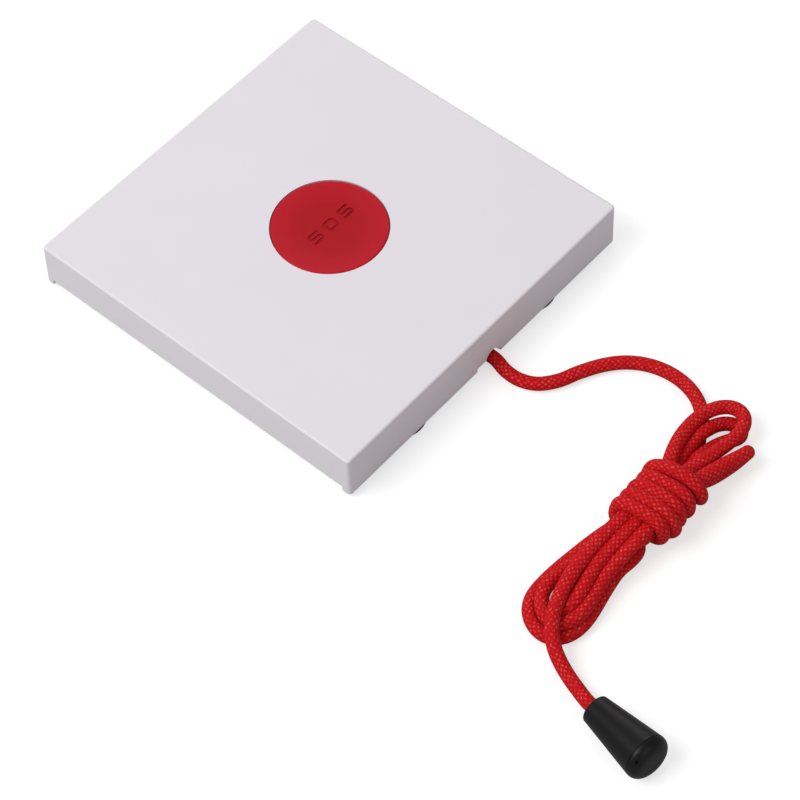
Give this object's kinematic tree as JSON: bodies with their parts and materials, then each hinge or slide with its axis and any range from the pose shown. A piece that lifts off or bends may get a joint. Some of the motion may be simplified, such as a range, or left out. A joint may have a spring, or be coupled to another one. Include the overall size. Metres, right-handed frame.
{
  "type": "wall emergency button",
  "caption": "Square white wall plate with a round red push button in its face and a red pull cord, tied in a hank, that ends in a black conical pull end.",
  "frame": {"origin": "middle of the back, on the plane that the feet stand on", "axes": "+Z out of the wall, through the button; -Y is the side that the cord leaves, which hangs down on a wall; +X to the right"},
  "size_m": [0.1012, 0.1712, 0.0123],
  "materials": {
    "white_plastic": "moulded white ABS, fine matt grain",
    "base_plastic": "moulded off-white ABS",
    "foot_rubber": "matt black rubber",
    "circuit_board": "green solder resist on glass fibre board",
    "steel": "nickel-plated steel",
    "spring_steel": "drawn spring wire and strip",
    "switch_plastic": "black moulded nylon",
    "red_plastic": "moulded red ABS, satin",
    "red_braid": "round braided polyester cord",
    "black_plastic": "black moulded plastic, satin"
  },
  "bodies": {
    "housing": {"front_cover": "white_plastic", "back_plate": "base_plastic", "foot_front_left": "foot_rubber", "foot_front_right": "foot_rubber", "foot_back_left": "foot_rubber", "foot_back_right": "foot_rubber", "circuit_board": "circuit_board", "board_screw_1": "steel", "board_screw_2": "steel", "board_screw_3": "steel", "push_switch": "switch_plastic", "pull_switch": "switch_plastic", "battery_holder": "switch_plastic", "battery_cell": "steel", "battery_clip": "spring_steel", "radio_can": "steel", "button_spring": "spring_steel", "pull_spring": "spring_steel"},
    "button": {"button_cap": "red_plastic", "push_plunger": "base_plastic"},
    "pull": {"pull_slider": "base_plastic", "pull_plunger": "base_plastic", "cord_knot": "red_braid", "cord_run": "red_braid", "cord_hank": "red_braid", "cord_tail": "red_braid", "end_knot": "red_braid", "pull_end": "black_plastic", "pull_end_plug": "black_plastic"}
  },
  "joints": [
    {"name": "button_press", "type": "slide", "parent": "housing", "child": "button", "axis": [0, 0, -1], "range_m": [0, 0.0013], "stiffness_N_per_m": 600, "springref_m": -0.002, "deforming": ["button_spring"]},
    {"name": "cord_pull", "type": "slide", "parent": "housing", "child": "pull", "axis": [0, -1, 0], "range_m": [0, 0.003], "stiffness_N_per_m": 800, "springref_m": -0.003, "deforming": ["pull_spring"]}
  ]
}
